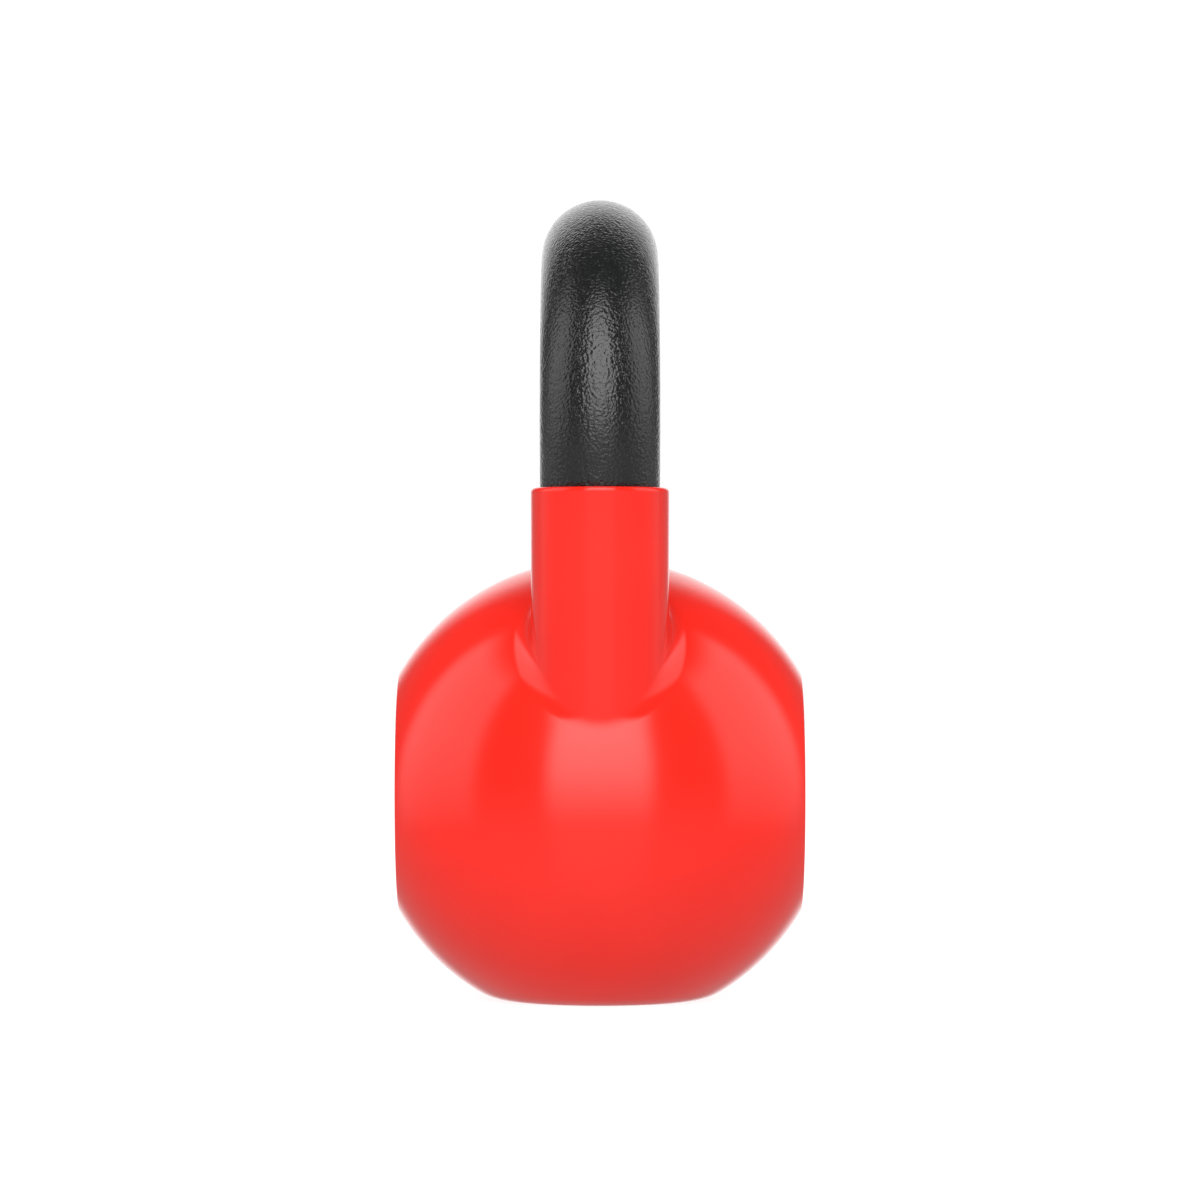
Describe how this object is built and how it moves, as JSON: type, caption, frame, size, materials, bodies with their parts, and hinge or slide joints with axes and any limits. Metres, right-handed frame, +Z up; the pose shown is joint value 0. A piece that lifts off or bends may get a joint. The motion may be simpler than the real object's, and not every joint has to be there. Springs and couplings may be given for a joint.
{
  "type": "kettlebell",
  "caption": "Vinyl-dipped kettlebell with a flat base, two flattened ball faces and a round powder-coated steel bar handle.",
  "frame": {"origin": "centre of the flat base", "axes": "+Z up along the height, the handle loop in the XZ plane, the ball's two flattened faces looking along +Y and -Y"},
  "size_m": [0.1514, 0.107, 0.2123],
  "materials": {
    "cast_iron": "matte",
    "powder_coat": "satin",
    "weld_steel": "satin",
    "vinyl": "gloss"
  },
  "bodies": {
    "root": {"ball_core": "cast_iron", "handle_bar": "powder_coat", "weld_bead_left": "weld_steel", "weld_bead_right": "weld_steel", "vinyl_jacket": "vinyl"}
  },
  "joints": []
}
